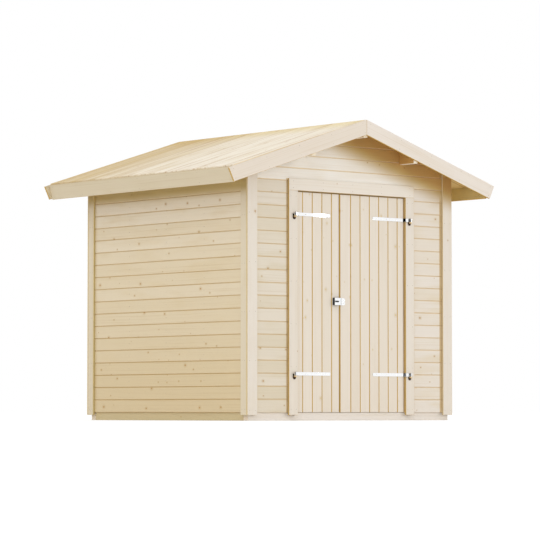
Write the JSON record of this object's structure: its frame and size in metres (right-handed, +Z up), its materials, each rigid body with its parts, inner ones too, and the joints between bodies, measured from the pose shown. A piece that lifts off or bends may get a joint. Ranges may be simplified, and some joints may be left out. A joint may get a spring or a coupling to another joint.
{
  "type": "wooden garden shed",
  "caption": "Gabled timber garden shed with horizontal board walls, a bare boarded roof and a pair of unequal boarded doors on strap hinges.",
  "frame": {"origin": "on the ground under the middle of the shed", "axes": "+X to the right along the front as one faces the doors, +Y from the doors to the back wall, +Z up"},
  "size_m": [3.082, 2.642, 2.603],
  "materials": {
    "base_wood": "planed, untreated",
    "wall_wood": "planed, untreated, with small knots",
    "trim_wood": "planed, untreated",
    "door_wood": "planed, untreated",
    "roof_wood": "planed, untreated",
    "frame_wood": "sawn, untreated",
    "zinc_steel": "bright zinc plated",
    "dark_steel": "dark, lightly rubbed"
  },
  "bodies": {
    "shed": {"base_cross_beams": "base_wood", "base_side_beams": "base_wood", "floor_joists": "base_wood", "floor": "frame_wood", "left_wall": "wall_wood", "right_wall": "wall_wood", "back_wall": "wall_wood", "front_wall_left": "wall_wood", "front_wall_right": "wall_wood", "front_gable": "wall_wood", "corner_posts": "frame_wood", "bottom_plates": "frame_wood", "wall_studs": "frame_wood", "top_plates": "frame_wood", "back_rail": "frame_wood", "door_posts": "frame_wood", "door_header": "frame_wood", "door_side_stops": "frame_wood", "door_head_stop": "frame_wood", "gable_posts": "frame_wood", "ridge_purlin": "frame_wood", "side_purlins": "frame_wood", "left_roof": "roof_wood", "right_roof": "roof_wood", "eave_fascias": "trim_wood", "left_bargeboards": "trim_wood", "right_bargeboards": "trim_wood", "gable_corner_trims": "trim_wood", "side_corner_trims": "trim_wood", "door_side_trims": "trim_wood", "door_head_trim": "trim_wood", "hinge_hooks": "dark_steel"},
    "left_leaf": {"left_door": "door_wood", "left_door_ledges": "door_wood", "left_door_braces": "door_wood", "left_hinge_straps": "zinc_steel", "hasp_keeper": "zinc_steel"},
    "right_leaf": {"right_door": "door_wood", "right_door_ledges": "door_wood", "right_door_braces": "door_wood", "right_hinge_straps": "zinc_steel", "hasp_plate": "zinc_steel"}
  },
  "joints": [
    {"name": "left_leaf_swing", "type": "hinge", "parent": "shed", "child": "left_leaf", "pos_m": [-0.67, -1.1518, 1.0825], "axis": [0, 0, -1], "range_deg": [0, 170]},
    {"name": "right_leaf_swing", "type": "hinge", "parent": "shed", "child": "right_leaf", "pos_m": [0.67, -1.1518, 1.0825], "axis": [0, 0, 1], "range_deg": [0, 170]}
  ]
}
